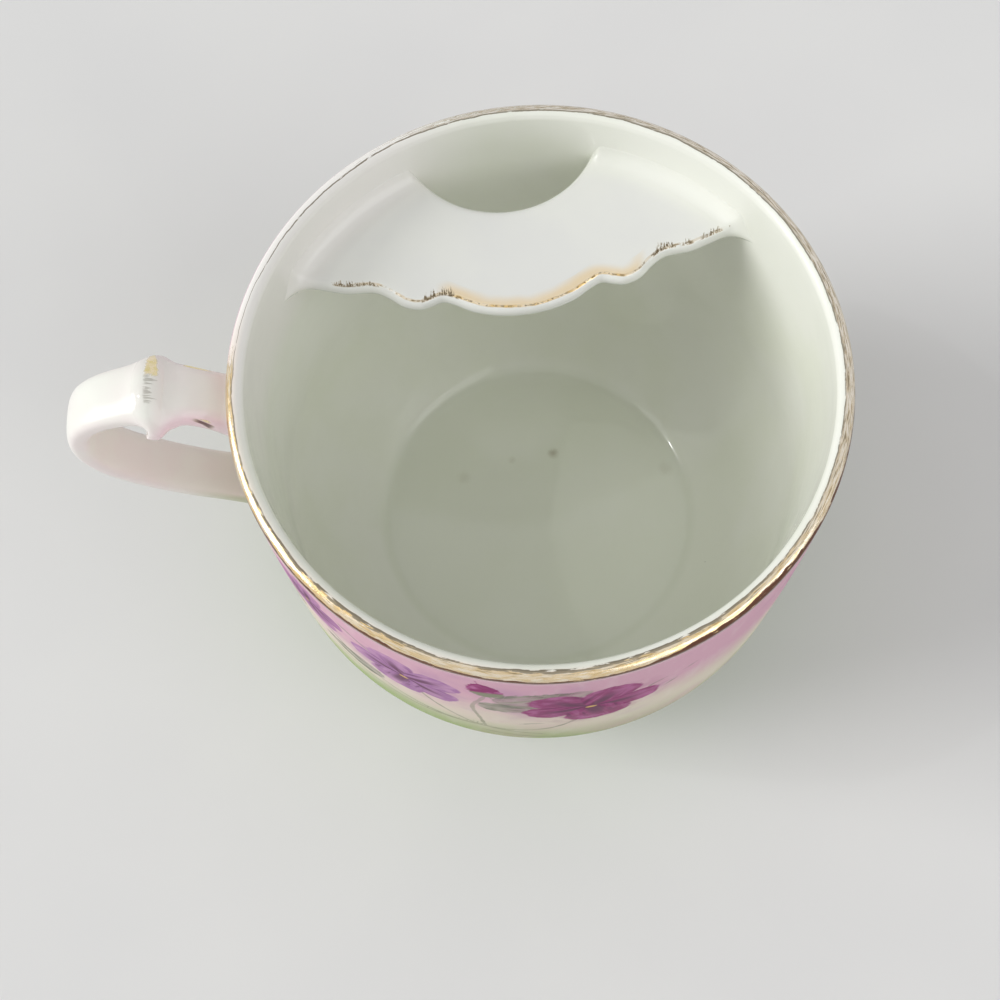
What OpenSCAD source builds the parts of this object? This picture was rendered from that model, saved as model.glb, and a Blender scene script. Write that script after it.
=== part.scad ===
// Mustache cup: a porcelain cup with a shelf under the rim that keeps a mustache out of the drink.
// The cup's axis is Z and it stands on Z = 0. The handle points along -X, and +Y is the side that
// is drunk from, so a right-handed drinker faces -Y. All sizes are in millimetres.

/* [Bowl] */
// Outside diameter at the rim
rim_d = 92; // [86:1:98]
// Height from the table to the top of the lip
cup_h = 72; // [68:1:78]
// Wall thickness at the lip, which is fully rounded
wall = 2.6; // [2:0.1:3]
// How far the belly stands out past the rim
belly_swell = 0.9; // [0.4:0.1:2]
// Height of the belly, the widest place
belly_z = 28; // [25:1:32]
// Width over which the outside rounds in under the belly
heel_w = 20.9; // [18:0.1:24]
// Height that the outside curve would reach under the cup, hidden in the foot
heel_z = 2.6; // [2.2:0.1:3]
// Height at which the inner wall starts to round in
bowl_z = 33; // [30:1:37]
// Width over which the inner wall rounds in to the floor
bowl_w = 23.4; // [21:0.1:26]
// Diameter of the flat floor inside
floor_d = 58.2; // [52:0.2:62]
// Height of the floor inside
floor_z = 5.7; // [5.2:0.1:6.6]
// Thickness of the clay under the floor
floor_t = 2.9; // [2.4:0.1:3.2]

/* [Foot ring] */
// Outside diameter of the foot ring
foot_d = 62.4; // [58:0.2:66]
// Thickness of the foot ring, measured along a radius
foot_w = 2.8; // [2.4:0.1:3.6]
// Rounding of the edges that the cup stands on
foot_round = 0.6; // [0.3:0.1:0.9]

/* [Mustache guard] */
// Depth of the guard's top face below the lip
guard_drop = 9; // [7:0.5:12]
// Thickness of the guard, which is also the roll of its front edge
guard_t = 2.6; // [2.2:0.1:3.2]
// Distance from the cup's axis to the tip of the guard's middle lobe
guard_tip = 14.3; // [12:0.1:18]
// How far the scalloped edge sweeps back from the middle lobe to the wall
guard_sweep = 10.2; // [8:0.2:12]
// Angle by which the guard is turned from square to the handle
guard_turn = 5; // [-10:1:10]
// Radius of the drinking hole
sip_r = 16.3; // [14:0.1:18]
// Depth of the drinking hole, from the wall to the guard's edge
sip_depth = 10.8; // [9:0.1:13]
// Fillet of slip between the guard's top and the wall
fillet_top = 2.6; // [1.5:0.1:3.5]
// Fillet of slip between the guard's underside and the wall
fillet_under = 1.8; // [1:0.1:2.5]

/* [Handle] */
// Distance from the cup's axis to the outermost point of the handle
handle_reach = 73.8; // [70:0.2:78]
// Height of the middle of the strap at the thumb rest
crest_z = 70.4; // [66:0.2:74]
// Height of the middle of the strap where it comes back to the wall
heel_end_z = 29.6; // [26:0.2:34]
// Width of the strap
strap_w = 8.8; // [7.6:0.1:10]
// Thickness of the strap
strap_t = 3.9; // [3.4:0.1:4.6]
// Width across the two ears of the thumb rest
ear_w = 13.2; // [11:0.2:14]
// How far the ears droop below the middle of the thumb rest
ear_droop = 2.2; // [0:0.1:3]

/* [Gilding] */
// Thickness drawn for the gold film
gilt_t = 0.15; // [0.1:0.01:0.2]
// How far the rim's gold runs down outside the lip
rim_gilt_drop = 0.9; // [0.5:0.1:2]
// Width of the gold on top of the guard's front edge
guard_gilt_w = 1.5; // [0.8:0.1:2.5]
// Clearance between the guard's gold and the fillet along the wall
guard_gilt_gap = 1.2; // [0.4:0.1:6]

/* [Hidden] */
$fn = 144;

// Radii and heights of the bowl
rim_r = rim_d / 2;
bore_r = rim_r - wall;
lip_r = wall / 2;
lip_z = cup_h - lip_r;
belly_r = rim_r + belly_swell;
heel_cx = belly_r - heel_w;
heel_rise = belly_z - heel_z;
foot_r = foot_d / 2;
foot_in_r = foot_r - foot_w;
under_z = floor_z - floor_t;
floor_r = floor_d / 2;
bowl_cx = bore_r - bowl_w;
bowl_rise = (bowl_z - floor_z) / sqrt(1 - pow((floor_r - bowl_cx) / bowl_w, 2));

// Segments of the bowl's curves
heel_steps = 20;
side_steps = 8;
lip_steps = 12;
foot_steps = 4;

// Angle on the lip, from outside over the top, where the rim's gold stops
rim_gilt_angle = 105;
rim_gilt_z = lip_z - rim_gilt_drop;

// Levels of the guard and of its fillets
guard_top_z = cup_h - guard_drop;
guard_mid_z = guard_top_z - guard_t / 2;
guard_low_z = guard_top_z - guard_t;
slip_top_z = guard_top_z + fillet_top;
slip_low_z = guard_low_z - fillet_under;
sip_y = bore_r - sip_depth + sip_r;
cut_over = wall;

// The guard's front edge on one side: distance from the middle as a share of the bore's radius,
// and how far the edge has swept back there as a share of guard_sweep
guard_edge_shares = [
    [0, 0], [0.091, 0.034], [0.182, 0.147], [0.251, 0.314], [0.292, 0.382], [0.333, 0.338],
    [0.376, 0.304], [0.433, 0.382], [0.487, 0.569], [0.533, 0.686], [0.581, 0.716],
    [0.638, 0.735], [0.706, 0.824], [0.774, 0.912], [0.854, 0.951], [0.98, 0.93]
];
// Parts of the front edge that each stretch of the table is drawn in, and turns of its roll
edge_steps = 3;
roll_steps = 6;
// Turns of the roll that the guard's gold covers, down from its top
guard_gilt_rolls = 2;

// The handle's path: distance out from the rim's radius and height above the lower end, both as
// shares of the handle's reach and rise, then the strap's width, thickness and droop as shares of
// strap_w, strap_t and ear_droop, and how much of the ears' extra width is added
handle_shares = [
    [-0.162, 0.710, 1.12, 1.62, 0, 0], [-0.036, 0.795, 1.09, 1.59, 0, 0],
    [0.090, 0.877, 1.00, 1.28, 0, 0], [0.220, 0.945, 1.00, 1.03, 0.06, 0.06],
    [0.296, 0.965, 1.00, 1.04, 0.36, 0.36], [0.356, 0.980, 1.00, 1.08, 0.92, 1.00],
    [0.421, 1.000, 1.00, 1.28, 0.80, 0.74], [0.512, 0.978, 1.02, 1.06, 0.14, 0.12],
    [0.718, 0.914, 1.00, 1.00, 0, 0], [0.863, 0.816, 0.98, 1.00, 0, 0],
    [0.928, 0.667, 0.98, 1.00, 0, 0], [0.904, 0.515, 0.98, 1.00, 0, 0],
    [0.811, 0.387, 0.98, 1.00, 0, 0], [0.670, 0.275, 0.98, 1.00, 0, 0],
    [0.490, 0.170, 0.98, 0.95, 0, 0], [0.299, 0.086, 0.98, 0.90, 0, 0],
    [0.126, 0.029, 1.05, 1.08, 0, 0], [-0.036, -0.020, 1.16, 1.33, 0, 0],
    [-0.162, -0.056, 1.22, 1.45, 0, 0]
];
// Steps between two rows of the table, sides of the strap, and how square its section is
path_steps = 4;
strap_sides = 20;
strap_squareness = 0.65;
// First and last step of the path and first and last side of the strap under the gold band over
// the crest, and under the gold strokes on the edges at +Y and at -Y
crest_gilt_steps = [20, 24];
crest_gilt_sides = [1, 9];
plus_stroke_steps = [10, 13];
plus_stroke_sides = [19, 21];
minus_stroke_steps = [8, 11];
minus_stroke_sides = [9, 11];

// Points on an ellipse's arc
function arc_points(cx, cz, rx, rz, from, to, steps) =
    [for (i = [0:steps]) let (a = from + (to - from) * i / steps) [cx + rx * cos(a), cz + rz * sin(a)]];

// A smooth curve through the rows of a table
function blend(a, b, c, d, t) =
    (2 * b + (c - a) * t + (2 * a - 5 * b + 4 * c - d) * t * t + (3 * b - a - 3 * c + d) * t * t * t) / 2;
function row(table, i) =
    i < 0 ? 2 * table[0] - table[1]
    : i < len(table) ? table[i]
    : 2 * table[len(table) - 1] - table[len(table) - 2];
function smooth(table, steps) = [
    for (i = [0:(len(table) - 1) * steps])
        let (k = min(floor(i / steps), len(table) - 2))
        blend(row(table, k - 1), row(table, k), row(table, k + 1), row(table, k + 2), i / steps - k)
];

// Radius of the outside between the belly and the lip
function side_r(z) = belly_r - belly_swell * pow((z - belly_z) / (lip_z - belly_z), 2);

// The lip from the outside over the top, stood off by a film's thickness
function lip_points(to, off) = arc_points(rim_r - lip_r, lip_z, lip_r + off, lip_r + off, 0, to, lip_steps);

// The outside, from the foot ring up to the lip
function outside_points() = concat(
    arc_points(foot_r - foot_round, foot_round, foot_round, foot_round, -90, 0, foot_steps),
    arc_points(heel_cx, belly_z, heel_w, heel_rise, -acos((foot_r - heel_cx) / heel_w), 0, heel_steps),
    [for (i = [1:side_steps]) let (z = belly_z + (rim_gilt_z - belly_z) * i / side_steps) [side_r(z), z]]
);

// Indexes of the two triangles that close each cell of a grid of points
function grid_faces(rows, columns, wrap, first = 0) = [
    for (j = [0:rows - 2], i = [0:columns - (wrap ? 1 : 2)])
        let (
            a = first + j * columns + i,
            b = first + j * columns + (i + 1) % columns
        )
        each [[a, a + columns, b + columns], [a, b + columns, b]]
];
function flip(faces) = [for (f = faces) [f[2], f[1], f[0]]];

// A closed skin between a grid of points and the same grid stood off from it
module skin(inner, outer) {
    rows = len(inner);
    columns = len(inner[0]);
    count = rows * columns;
    along = [for (i = [0:columns - 1]) i];
    down = [for (j = [0:rows - 1]) j * columns];
    // The rim of the grid, once round
    rim = concat(
        along,
        [for (j = [1:rows - 1]) down[j] + columns - 1],
        [for (i = [columns - 2:-1:0]) count - columns + i],
        [for (j = [rows - 2:-1:1]) down[j]]
    );
    edge_faces = [
        for (i = [0:len(rim) - 1])
            let (a = rim[i], b = rim[(i + 1) % len(rim)])
            each [[b, a, a + count], [b, a + count, b + count]]
    ];
    polyhedron(
        [for (line = concat(inner, outer)) each line],
        concat(flip(grid_faces(rows, columns, false)), grid_faces(rows, columns, false, count), edge_faces)
    );
}

// The bowl, its wall and its foot ring are one piece of clay
module cup_body() {
    color([0.93, 0.91, 0.88])
    rotate_extrude()
    polygon(concat(
        outside_points(),
        lip_points(rim_gilt_angle, 0),
        arc_points(rim_r - lip_r, lip_z, lip_r, lip_r, rim_gilt_angle, 180, lip_steps),
        arc_points(bowl_cx, bowl_z, bowl_w, bowl_rise, 0, -acos((floor_r - bowl_cx) / bowl_w), heel_steps),
        [[0, floor_z], [0, under_z]],
        arc_points(foot_in_r - foot_round, under_z - foot_round, foot_round, foot_round, 90, 0, foot_steps),
        arc_points(foot_in_r + foot_round, foot_round, foot_round, foot_round, 180, 270, foot_steps)
    ));
}

// Everything inside the cup's outside surface
module cup_envelope() {
    rotate_extrude()
    polygon(concat([[0, 0]], outside_points(), lip_points(90, 0), [[0, cup_h]]));
}

// The guard's front edge in the guard's own frame, from left to right
edge_half = [for (s = guard_edge_shares) [s[0] * bore_r, guard_tip + s[1] * guard_sweep]];
edge_line = smooth(
    concat([for (i = [len(edge_half) - 1:-1:1]) [-edge_half[i][0], edge_half[i][1]]], edge_half),
    edge_steps
);
function edge_along(i) =
    let (d = edge_line[min(i + 1, len(edge_line) - 1)] - edge_line[max(i - 1, 0)])
    d / norm(d);

// The front edge, drawn back by a distance and lifted to a height
function edge_row(back, z) = [
    for (i = [0:len(edge_line) - 1])
        let (d = edge_along(i), p = edge_line[i] + back * [-d[1], d[0]])
        [p[0], p[1], z]
];
// The same row at an angle of the rolled edge, stood off by a film's thickness
function roll_row(angle, off) = edge_row(
    guard_t / 2 - (guard_t / 2 + off) * cos(angle),
    guard_mid_z + (guard_t / 2 + off) * sin(angle)
);

// The guard's slab: its rolled front edge, with a flat top and underside that run out past the wall
module guard_slab() {
    back_y = bore_r + cut_over;
    rolls = [for (k = [0:roll_steps]) roll_row(-90 + 180 * k / roll_steps, 0)];
    sections = [
        for (i = [0:len(edge_line) - 1])
            let (low = rolls[0][i], top = rolls[roll_steps][i])
            concat([[low[0], back_y, low[2]]], [for (r = rolls) r[i]], [[top[0], back_y, top[2]]])
    ];
    last = len(sections) - 1;
    points = len(sections[0]);
    polyhedron(
        [for (s = sections) each s],
        concat(
            flip(grid_faces(last + 1, points, true)),
            [[for (k = [points - 1:-1:0]) k]],
            [[for (k = [0:points - 1]) last * points + k]]
        )
    );
}

// The cutter that leaves the drinking hole with a rounded edge
module sip_cutter() {
    edge_angle = 70;
    edge_r = guard_t / 2;
    mouth_r = sip_r + edge_r * (1 - cos(edge_angle));
    translate([0, sip_y, 0])
    rotate_extrude()
    polygon(concat(
        [[0, slip_low_z - cut_over], [mouth_r, slip_low_z - cut_over]],
        [
            for (i = [0:roll_steps])
                let (a = -edge_angle + 2 * edge_angle * i / roll_steps)
                [sip_r + edge_r * (1 - cos(a)), guard_mid_z + edge_r * sin(a) / sin(edge_angle)]
        ],
        [[mouth_r, slip_top_z + cut_over], [0, slip_top_z + cut_over]]
    ));
}

// The two fillets of slip along the wall, above and below the guard
module guard_fillets() {
    rotate_extrude()
    polygon(concat(
        [[bore_r - fillet_top, guard_mid_z]],
        arc_points(bore_r - fillet_top, slip_top_z, fillet_top, fillet_top, -90, 0, lip_steps),
        [[bore_r + cut_over, slip_top_z], [bore_r + cut_over, guard_mid_z]]
    ));
    rotate_extrude()
    polygon(concat(
        [[bore_r + cut_over, guard_mid_z], [bore_r + cut_over, slip_low_z]],
        arc_points(bore_r - fillet_under, slip_low_z, fillet_under, fillet_under, 0, 90, lip_steps),
        [[bore_r - fillet_under, guard_mid_z]]
    ));
}

// The plan of the guard behind the roll of its front edge
module guard_plan() {
    front = edge_row(guard_t / 2, 0);
    back_y = bore_r + cut_over;
    polygon(concat([for (p = front) [p[0], p[1]]], [[-front[0][0], back_y], [front[0][0], back_y]]));
}

// The guard is cast by itself and luted to the wall inside the cup
module mustache_guard() {
    color([0.90, 0.91, 0.92])
    rotate([0, 0, guard_turn])
    difference() {
        intersection() {
            union() {
                guard_slab();
                intersection() {
                    guard_fillets();
                    translate([0, 0, slip_low_z])
                    linear_extrude(slip_top_z - slip_low_z)
                    guard_plan();
                }
            }
            translate([0, 0, slip_low_z - cut_over])
            cylinder(h = slip_top_z - slip_low_z + 2 * cut_over, r = bore_r);
        }
        sip_cutter();
    }
}

// The handle's path as rows of distance from the axis, height, half width, half thickness and droop
handle_path = smooth(
    [
        for (s = handle_shares) [
            rim_r + s[0] * (handle_reach - rim_r),
            heel_end_z + s[1] * (crest_z - heel_end_z),
            (s[2] * strap_w + s[5] * (ear_w - strap_w)) / 2,
            s[3] * strap_t / 2,
            s[4] * ear_droop
        ]
    ],
    path_steps
);
function path_along(i) =
    let (
        a = handle_path[max(i - 1, 0)],
        b = handle_path[min(i + 1, len(handle_path) - 1)],
        d = [b[0] - a[0], b[1] - a[1]]
    )
    d / norm(d);

// A power that keeps the sign of its base
function signed_pow(v, e) = sign(v) * pow(abs(v), e);

// One section of the strap, stood off by a film's thickness
function strap_point(i, k, off) =
    let (
        p = handle_path[i],
        d = path_along(i),
        angle = 360 * k / strap_sides,
        across = signed_pow(cos(angle), strap_squareness),
        up = (p[3] + off) * signed_pow(sin(angle), strap_squareness) - p[4] * across * across
    )
    [-(p[0] - up * d[1]), (p[2] + off) * across, p[1] + up * d[0]];
function strap_grid(steps, sides, off) = [
    for (i = [steps[0]:steps[1]]) [for (k = [sides[0]:sides[1]]) strap_point(i, k, off)]
];

// The strap is pressed by itself and luted to the outside of the wall
module handle() {
    last = len(handle_path) - 1;
    rings = strap_grid([0, last], [0, strap_sides - 1], 0);
    color([0.93, 0.88, 0.88])
    difference() {
        polyhedron(
            [for (r = rings) each r],
            concat(
                grid_faces(last + 1, strap_sides, true),
                [[for (k = [0:strap_sides - 1]) k]],
                [[for (k = [strap_sides - 1:-1:0]) last * strap_sides + k]]
            )
        );
        cup_envelope();
    }
}

// The gold on the lip runs from just inside its top to a little way down the outside
module rim_gilding() {
    inner = concat([[side_r(rim_gilt_z), rim_gilt_z]], lip_points(rim_gilt_angle, 0));
    outer = concat([[side_r(rim_gilt_z) + gilt_t, rim_gilt_z]], lip_points(rim_gilt_angle, gilt_t));
    color([0.83, 0.66, 0.30])
    rotate_extrude()
    polygon(concat(outer, [for (i = [len(inner) - 1:-1:0]) inner[i]]));
}

// The gold on the guard follows its scalloped front edge and stops short of the fillets
module guard_gilding() {
    angles = [for (k = [guard_gilt_rolls:-1:0]) 90 - 180 * k / roll_steps];
    inner_row = edge_row(guard_t / 2 + guard_gilt_w, 0);
    stop_r = bore_r - fillet_top - guard_gilt_gap;
    covered = [for (i = [0:len(inner_row) - 1]) if (norm(inner_row[i]) < stop_r) i];
    function part(r) = [for (i = covered) r[i]];
    function film(off) = concat(
        [for (a = angles) part(roll_row(a, off))],
        [part(edge_row(guard_t / 2 + guard_gilt_w, guard_top_z + off))]
    );
    color([0.80, 0.58, 0.28])
    rotate([0, 0, guard_turn])
    skin(film(0), film(gilt_t));
}

// The gold on the handle: a band over the thumb rest and a stroke on each edge of the strap
module handle_gilding() {
    color([0.83, 0.66, 0.30])
    for (area = [
        [crest_gilt_steps, crest_gilt_sides],
        [plus_stroke_steps, plus_stroke_sides],
        [minus_stroke_steps, minus_stroke_sides]
    ])
        skin(strap_grid(area[0], area[1], 0), strap_grid(area[0], area[1], gilt_t));
}

cup_body();
mustache_guard();
handle();
rim_gilding();
guard_gilding();
handle_gilding();
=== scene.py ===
"""The looks of a mustache cup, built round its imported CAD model.

Sizes are written in millimetres, as in the part's source, and turned to metres as meshes are made.
The cup's axis is Z, the handle points along -X, and +Y is the side that is drunk from.
"""
import math

import bmesh
import bpy
import numpy as np
from mathutils import Matrix, Vector


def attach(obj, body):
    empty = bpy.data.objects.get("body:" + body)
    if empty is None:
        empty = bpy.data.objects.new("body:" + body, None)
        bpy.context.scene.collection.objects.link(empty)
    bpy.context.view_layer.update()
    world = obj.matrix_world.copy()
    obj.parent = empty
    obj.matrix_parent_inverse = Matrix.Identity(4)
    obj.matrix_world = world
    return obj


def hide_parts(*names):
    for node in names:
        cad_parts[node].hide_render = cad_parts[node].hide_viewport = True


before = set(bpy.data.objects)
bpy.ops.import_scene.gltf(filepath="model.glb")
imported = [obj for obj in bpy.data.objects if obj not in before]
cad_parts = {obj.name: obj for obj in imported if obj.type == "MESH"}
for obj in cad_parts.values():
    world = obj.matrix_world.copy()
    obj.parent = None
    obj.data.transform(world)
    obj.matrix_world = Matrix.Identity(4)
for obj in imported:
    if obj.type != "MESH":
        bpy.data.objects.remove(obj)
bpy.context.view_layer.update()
MM = 0.001

# Bowl
RIM_R = 46.0
CUP_H = 72.0
WALL = 2.6
BELLY_SWELL = 0.9
BELLY_Z = 28.0
HEEL_W = 20.9
HEEL_Z = 2.6
BOWL_Z = 33.0
BOWL_W = 23.4
FLOOR_R = 29.1
FLOOR_Z = 5.7
FLOOR_T = 2.9
FOOT_R = 31.2
FOOT_W = 2.8
FOOT_ROUND = 0.6
BORE_R = RIM_R - WALL
LIP_R = WALL / 2
LIP_Z = CUP_H - LIP_R
BELLY_R = RIM_R + BELLY_SWELL

# Guard
GUARD_DROP = 9.0
GUARD_T = 2.6
GUARD_TIP = 14.3
GUARD_SWEEP = 10.2
GUARD_TURN = 5.0
SIP_R = 16.3
SIP_DEPTH = 10.8
FILLET_TOP = 2.6
FILLET_UNDER = 1.8
FILLET_END = 3.0
GUARD_MID_Z = CUP_H - GUARD_DROP - GUARD_T / 2
SIP_Y = BORE_R - SIP_DEPTH + SIP_R
GUARD_EDGE_SHARES = [
    (0, 0), (0.091, 0.034), (0.182, 0.147), (0.251, 0.314), (0.292, 0.382), (0.333, 0.338),
    (0.376, 0.304), (0.433, 0.382), (0.487, 0.569), (0.533, 0.686), (0.581, 0.716),
    (0.638, 0.735), (0.706, 0.824), (0.774, 0.912), (0.854, 0.951), (0.98, 0.93),
]

# Handle
HANDLE_REACH = 73.8
CREST_Z = 70.4
HEEL_END_Z = 29.6
STRAP_W = 8.8
STRAP_T = 3.9
EAR_W = 13.2
EAR_DROOP = 2.2
STRAP_SQUARENESS = 0.65
HANDLE_SHARES = [
    (-0.162, 0.710, 1.12, 1.62, 0, 0), (-0.036, 0.795, 1.09, 1.59, 0, 0),
    (0.090, 0.877, 1.00, 1.28, 0, 0), (0.220, 0.945, 1.00, 1.03, 0.06, 0.06),
    (0.296, 0.965, 1.00, 1.04, 0.36, 0.36), (0.356, 0.980, 1.00, 1.08, 0.92, 1.00),
    (0.421, 1.000, 1.00, 1.28, 0.80, 0.74), (0.512, 0.978, 1.02, 1.06, 0.14, 0.12),
    (0.718, 0.914, 1.00, 1.00, 0, 0), (0.863, 0.816, 0.98, 1.00, 0, 0),
    (0.928, 0.667, 0.98, 1.00, 0, 0), (0.904, 0.515, 0.98, 1.00, 0, 0),
    (0.811, 0.387, 0.98, 1.00, 0, 0), (0.670, 0.275, 0.98, 1.00, 0, 0),
    (0.490, 0.170, 0.98, 0.95, 0, 0), (0.299, 0.086, 0.98, 0.90, 0, 0),
    (0.126, 0.029, 1.05, 1.08, 0, 0), (-0.036, -0.020, 1.16, 1.33, 0, 0),
    (-0.162, -0.056, 1.22, 1.45, 0, 0),
]

# Camera, fitted to the photo, and how the part stands before it
CAMERA_PLACE = (-4.06, -77.49, 241.3)
CAMERA_PITCH = 71.29
CAMERA_YAW = -1.69
CAMERA_ROLL = 0.28
CAMERA_TURN = -3.0
FOCAL_SHARE = 1.27
SENSOR = 36.0

# Mesh density
CUP_COLUMNS = 480
PAINT_SPACING = 0.62
LIP_SPACING = 0.24
FINE_SPACING = 0.5
COARSE_ROWS = 5
CORNER_REACH = 2.0
FOOT_SPACING = 0.6
GUARD_COLUMNS = 460
STRAP_STEPS = 18
STRAP_SIDES = 72

# How far pieces run on inside the wall, where they are hidden, and how far films stand off
HIDDEN = 0.4
FILM = 0.03
STRAP_FILLET = 1.5
SKIN_INSET = 0.01
STRAP_ROOT = (-RIM_R, 0, 62)


def arc(cx, cz, rx, rz, start, end, steps=48):
    """Points on an ellipse's arc, angles in degrees."""
    a = np.radians(np.linspace(start, end, steps + 1))
    return np.stack([cx + rx * np.cos(a), cz + rz * np.sin(a)], 1)


def smooth(table, steps):
    """Points on a smooth curve through the rows of a table."""
    rows = np.array(table, float)
    rows = np.vstack([2 * rows[0] - rows[1], rows, 2 * rows[-1] - rows[-2]])
    points = []
    for k in range(1, len(rows) - 2):
        a, b, c, d = rows[k - 1:k + 3]
        for t in np.arange(steps) / steps:
            cubic = (3 * b - a - 3 * c + d) * t**3
            points.append((2 * b + (c - a) * t + (2 * a - 5 * b + 4 * c - d) * t**2 + cubic) / 2)
    points.append(rows[-2])
    return np.array(points)


def run_length(points):
    """Distance along a line of points, from its first point."""
    steps = np.linalg.norm(np.diff(points, axis=0), axis=1)
    return np.concatenate([[0], np.cumsum(steps)])


def evenly(points, count):
    """The same line with its points spaced evenly."""
    length = run_length(points)
    at = np.linspace(0, length[-1], count)
    return np.stack([np.interp(at, length, c) for c in points.T], 1)


def spaced(points, spacing):
    return evenly(points, max(2, int(round(run_length(points)[-1] / spacing)) + 1))


def soften(points, times):
    """Rounds the corners of a line and keeps its ends."""
    points = points.copy()
    for _ in range(times):
        points[1:-1] = (points[:-2] + 2 * points[1:-1] + points[2:]) / 4
    return points


def ease(x, low, high):
    t = np.clip((x - low) / (high - low), 0, 1)
    return t * t * (3 - 2 * t)


def turned(points, degrees):
    """Points turned about the cup's axis."""
    c, s = math.cos(math.radians(degrees)), math.sin(math.radians(degrees))
    x, y, z = np.moveaxis(points, -1, 0)
    return np.stack([c * x - s * y, s * x + c * y, z], -1)


def grid_faces(rows, columns, wrap_rows=False, wrap_columns=False):
    """The four-sided faces of a grid of points."""
    j, i = np.meshgrid(
        np.arange(rows if wrap_rows else rows - 1),
        np.arange(columns if wrap_columns else columns - 1),
        indexing="ij",
    )
    k, n = (j + 1) % rows, (i + 1) % columns
    corners = [j * columns + i, j * columns + n, k * columns + n, k * columns + i]
    return np.stack(corners, -1).reshape(-1, 4).tolist()


def make_piece(name, points, faces, materials, node, attributes, kinds=None):
    """A smooth mesh from points in millimetres that stands for a CAD node."""
    mesh = bpy.data.meshes.new(name)
    mesh.from_pydata((points.reshape(-1, 3) * MM).tolist(), [], faces)
    for key, values in attributes.items():
        flat = np.asarray(values, np.float32).reshape(len(mesh.vertices), -1)
        kind = "FLOAT" if flat.shape[1] == 1 else "FLOAT_VECTOR"
        field = "value" if flat.shape[1] == 1 else "vector"
        mesh.attributes.new(key, kind, "POINT").data.foreach_set(field, flat.ravel())
    for material in materials:
        mesh.materials.append(material)
    if kinds is not None:
        mesh.polygons.foreach_set("material_index", kinds)
    work = bmesh.new()
    work.from_mesh(mesh)
    bmesh.ops.remove_doubles(work, verts=work.verts, dist=0.001 * MM)
    bmesh.ops.dissolve_degenerate(work, edges=work.edges, dist=0.0001 * MM)
    bmesh.ops.recalc_face_normals(work, faces=work.faces)
    for face in work.faces:
        face.smooth = True
    work.to_mesh(mesh)
    work.free()
    piece = bpy.data.objects.new(name, mesh)
    bpy.context.scene.collection.objects.link(piece)
    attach(piece, "root")
    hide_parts(node)
    return piece


def stand_off(grid, distance, away_from):
    """A grid of points moved along its normals, away from the given place."""
    normal = np.cross(np.gradient(grid, axis=0), np.gradient(grid, axis=1))
    normal /= np.maximum(np.linalg.norm(normal, axis=-1, keepdims=True), 1e-9)
    side = np.sign(np.sum(normal * (grid - away_from), -1, keepdims=True))
    return grid + normal * side * distance


def side_r(z):
    """Radius of the cup's outside above the belly."""
    return BELLY_R - BELLY_SWELL * ((z - BELLY_Z) / (LIP_Z - BELLY_Z)) ** 2


def cup_profile():
    """The cup's section as distance from the axis and height, and the rows that carry paint."""
    foot_in_r = FOOT_R - FOOT_W
    under_z = FLOOR_Z - FLOOR_T
    heel_cx = BELLY_R - HEEL_W
    bowl_cx = BORE_R - BOWL_W
    bowl_rise = (BOWL_Z - FLOOR_Z) / math.sqrt(1 - ((FLOOR_R - bowl_cx) / BOWL_W) ** 2)
    heel_angle = math.degrees(math.acos((FOOT_R - heel_cx) / HEEL_W))
    bowl_angle = math.degrees(math.acos((FLOOR_R - bowl_cx) / BOWL_W))
    foot = np.vstack([
        [[HIDDEN, under_z]],
        arc(foot_in_r - FOOT_ROUND, under_z - FOOT_ROUND, FOOT_ROUND, FOOT_ROUND, 90, 0, 6),
        arc(foot_in_r + FOOT_ROUND, FOOT_ROUND, FOOT_ROUND, FOOT_ROUND, 180, 270, 6),
        arc(FOOT_R - FOOT_ROUND, FOOT_ROUND, FOOT_ROUND, FOOT_ROUND, -90, 0, 6),
    ])
    side_z = np.linspace(BELLY_Z, LIP_Z, 60)
    outside = np.vstack([
        arc(heel_cx, BELLY_Z, HEEL_W, BELLY_Z - HEEL_Z, -heel_angle, 0),
        np.stack([side_r(side_z), side_z], 1)[1:],
    ])
    lip = arc(RIM_R - LIP_R, LIP_Z, LIP_R, LIP_R, 0, 180)
    inside = np.vstack([
        [[BORE_R, LIP_Z]],
        arc(bowl_cx, BOWL_Z, BOWL_W, bowl_rise, 0, -bowl_angle),
        [[HIDDEN, FLOOR_Z]],
    ])
    inside = soften(spaced(inside, FINE_SPACING), 3)
    from_corner = np.abs(run_length(inside)[::-1].max() - run_length(inside) - (FLOOR_R - HIDDEN))
    row = np.arange(len(inside))
    inside = inside[(from_corner < CORNER_REACH) | (row % COARSE_ROWS == 0) | (row == row[-1])]
    parts = [
        foot,
        soften(spaced(outside, PAINT_SPACING), 2),
        spaced(lip, LIP_SPACING)[1:],
        inside[1:],
    ]
    return np.vstack(parts), len(foot), len(foot) + len(parts[1])


def make_cup():
    profile, first, last = cup_profile()
    angle = np.linspace(-math.pi, math.pi, CUP_COLUMNS, endpoint=False)
    r, z = profile[:, :1], profile[:, 1:]
    grid = np.stack([r * np.cos(angle), r * np.sin(angle), z + 0 * angle], -1)
    faces = grid_faces(len(profile), CUP_COLUMNS, wrap_columns=True)
    faces.append(list(range(CUP_COLUMNS)))
    faces.append([(len(profile) - 1) * CUP_COLUMNS + i for i in range(CUP_COLUMNS)][::-1])
    painted_faces = (last - 1) * CUP_COLUMNS
    kinds = [0] * painted_faces + [1] * (len(faces) - painted_faces)
    kinds[-2] = 0
    materials = [painted_glaze(), cup_glaze()]
    make_piece("cup", grid, faces, materials, "cup_body", paint_layers(grid), kinds)


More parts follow.
